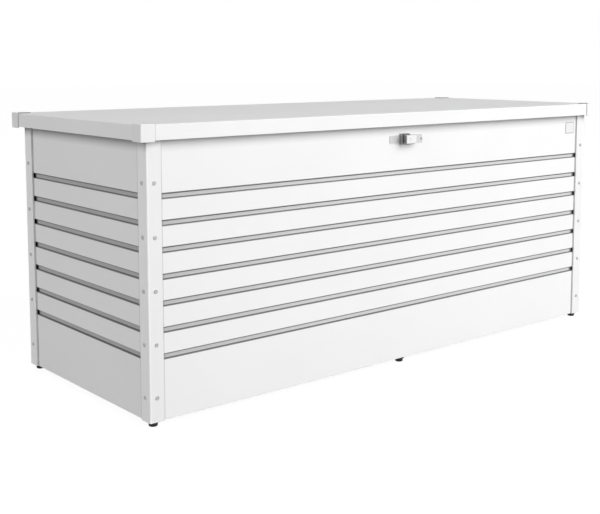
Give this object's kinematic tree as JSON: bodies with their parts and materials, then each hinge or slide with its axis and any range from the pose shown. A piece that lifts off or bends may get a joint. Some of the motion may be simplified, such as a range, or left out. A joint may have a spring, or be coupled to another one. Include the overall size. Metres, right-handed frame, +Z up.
{
  "type": "garden storage box",
  "caption": "Sheet steel garden storage box with ribbed walls between corner posts, a hinged lid on gas struts with capped corners, and a locking twist handle",
  "frame": {"origin": "on the ground under the middle of the box", "axes": "+X along the front to its right end as seen from in front, +Y from front to back, +Z up"},
  "size_m": [2, 0.7956, 0.8313],
  "materials": {
    "wall_paint": "white powder coat, satin",
    "post_paint": "white powder coat, satin",
    "lid_paint": "white powder coat, satin",
    "cap_paint": "white powder coat, satin, dark inside",
    "inner_paint": "white powder coat, satin",
    "zinc_sheet": "galvanised sheet, dull",
    "zinc_steel": "zinc plated",
    "screw_steel": "plain steel, satin",
    "seal_rubber": "matt black",
    "foot_plastic": "moulded black",
    "strut_black": "black paint, satin",
    "strut_chrome": "ground and polished",
    "socket_plastic": "moulded black",
    "escutcheon_metal": "satin",
    "collar_metal": "dark plating, satin",
    "handle_metal": "satin plated",
    "plug_metal": "polished plating"
  },
  "bodies": {
    "cabinet": {"corner_angles": "zinc_sheet", "floor_tray_1": "zinc_sheet", "floor_tray_2": "zinc_sheet", "floor_tray_3": "zinc_sheet", "foot_front_left": "foot_plastic", "foot_front_middle": "foot_plastic", "foot_front_right": "foot_plastic", "foot_nuts": "zinc_steel", "foot_rear_left": "foot_plastic", "foot_rear_middle": "foot_plastic", "foot_rear_right": "foot_plastic", "front_panel": "wall_paint", "hinge_pins": "zinc_steel", "hinge_rivets": "zinc_steel", "hinge_wall_leaf_left": "zinc_steel", "hinge_wall_leaf_middle": "zinc_steel", "hinge_wall_leaf_right": "zinc_steel", "left_panel": "wall_paint", "lock_escutcheon": "escutcheon_metal", "lock_housing": "collar_metal", "lock_nut": "zinc_steel", "post_front_left": "post_paint", "post_front_right": "post_paint", "post_rear_left": "post_paint", "post_rear_right": "post_paint", "post_screws": "screw_steel", "rear_panel": "wall_paint", "right_panel": "wall_paint", "strut_bracket_left": "inner_paint", "strut_bracket_right": "inner_paint", "wall_seal": "seal_rubber"},
    "lid": {"hinge_lid_leaf_left": "zinc_steel", "hinge_lid_leaf_middle": "zinc_steel", "hinge_lid_leaf_right": "zinc_steel", "lid_cap_front_left": "cap_paint", "lid_cap_front_right": "cap_paint", "lid_cap_rear_left": "cap_paint", "lid_cap_rear_right": "cap_paint", "lid_rail_front": "inner_paint", "lid_rail_left": "inner_paint", "lid_rail_rear": "inner_paint", "lid_rail_right": "inner_paint", "lid_rib_left": "inner_paint", "lid_rib_middle": "inner_paint", "lid_rib_right": "inner_paint", "lid_skin": "lid_paint", "lock_keeper": "inner_paint", "strut_hanger_left": "inner_paint", "strut_hanger_right": "inner_paint"},
    "strut_left_tube": {"strut_tube_left": "strut_black"},
    "strut_left_rod": {"strut_rod_left": "strut_chrome", "strut_rod_socket_left": "socket_plastic"},
    "strut_right_tube": {"strut_tube_right": "strut_black"},
    "strut_right_rod": {"strut_rod_right": "strut_chrome", "strut_rod_socket_right": "socket_plastic"},
    "handle": {"lock_handle": "handle_metal", "lock_spindle": "plug_metal", "lock_cam": "zinc_steel", "lock_cam_screw": "zinc_steel"},
    "key_plug": {"lock_key_plug": "plug_metal"}
  },
  "joints": [
    {"name": "lid_hinge", "type": "hinge", "parent": "cabinet", "child": "lid", "pos_m": [0, 0.3814, 0.7859], "axis": [-1, 0, 0], "range_deg": [0, 80]},
    {"name": "strut_left_pivot", "type": "hinge", "parent": "cabinet", "child": "strut_left_tube", "pos_m": [-0.925, 0.2502, 0.598], "axis": [-1, 0, 0], "range_deg": [0, 20.08]},
    {"name": "strut_left_slide", "type": "slide", "parent": "strut_left_tube", "child": "strut_left_rod", "axis": [0, 0, 1], "range_m": [0, 0.1432], "stiffness_N_per_m": 300, "springref_m": 0.8},
    {"name": "strut_right_pivot", "type": "hinge", "parent": "cabinet", "child": "strut_right_tube", "pos_m": [0.925, 0.2502, 0.598], "axis": [-1, 0, 0], "range_deg": [0, 20.08]},
    {"name": "strut_right_slide", "type": "slide", "parent": "strut_right_tube", "child": "strut_right_rod", "axis": [0, 0, 1], "range_m": [0, 0.1432], "stiffness_N_per_m": 300, "springref_m": 0.8},
    {"name": "handle_turn", "type": "hinge", "parent": "cabinet", "child": "handle", "pos_m": [-0.007, -0.3698, 0.7425], "axis": [0, 1, 0], "range_deg": [0, 90]},
    {"name": "key_turn", "type": "hinge", "parent": "handle", "child": "key_plug", "pos_m": [-0.007, -0.3898, 0.7425], "axis": [0, 1, 0], "range_deg": [0, 90]}
  ],
  "couplings": [
    {"joint": "strut_left_pivot", "follows": "lid_hinge", "ratio": 0.25092},
    {"joint": "strut_left_slide", "follows": "lid_hinge", "m_per_rad": 0.1025},
    {"joint": "strut_right_pivot", "follows": "lid_hinge", "ratio": 0.25092},
    {"joint": "strut_right_slide", "follows": "lid_hinge", "m_per_rad": 0.1025}
  ]
}
